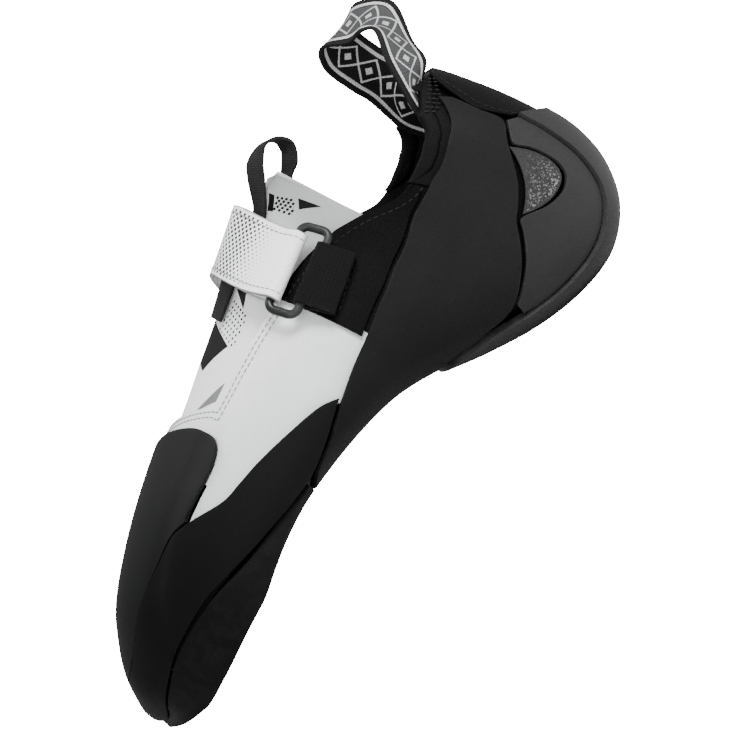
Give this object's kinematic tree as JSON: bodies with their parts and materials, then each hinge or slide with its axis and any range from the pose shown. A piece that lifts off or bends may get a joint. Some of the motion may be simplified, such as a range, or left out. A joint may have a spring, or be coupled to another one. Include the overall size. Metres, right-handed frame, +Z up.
{
  "type": "climbing shoe",
  "caption": "Downturned climbing shoe with rubber sole, rand and heel, one ring-and-strap closure, tongue and pull loops.",
  "frame": {"origin": "middle of the bounding box's bottom, on the floor that the shoe stands on", "axes": "toe towards -X and heel towards +X, lateral side towards -Y and medial side towards +Y, +Z up"},
  "size_m": [0.2467, 0.0916, 0.1231],
  "materials": {
    "white_leather": "satin",
    "knit": "matte",
    "board": "matte",
    "rubber": "matte",
    "rough_rubber": "rough",
    "smooth_black": "satin",
    "webbing": "matte",
    "hard_plastic": "satin"
  },
  "bodies": {
    "root": {"upper": "white_leather", "tongue": "knit", "insole": "board", "outsole": "rubber", "rand": "rubber", "toe_patch": "rubber", "arch_band": "rubber", "heel_strip": "rubber", "heel_cup_lateral": "rubber", "heel_cup_medial": "rubber", "heel_window_lateral": "rough_rubber", "heel_window_medial": "rough_rubber", "heel_tab": "smooth_black", "collar_panel_lateral": "smooth_black", "collar_panel_medial": "smooth_black", "collar_binding_lateral": "smooth_black", "collar_binding_medial": "smooth_black", "strap": "white_leather", "ring_webbing": "webbing", "ring": "hard_plastic", "strap_tail": "webbing", "tongue_pull_loop": "webbing", "heel_loop": "webbing"}
  },
  "joints": []
}
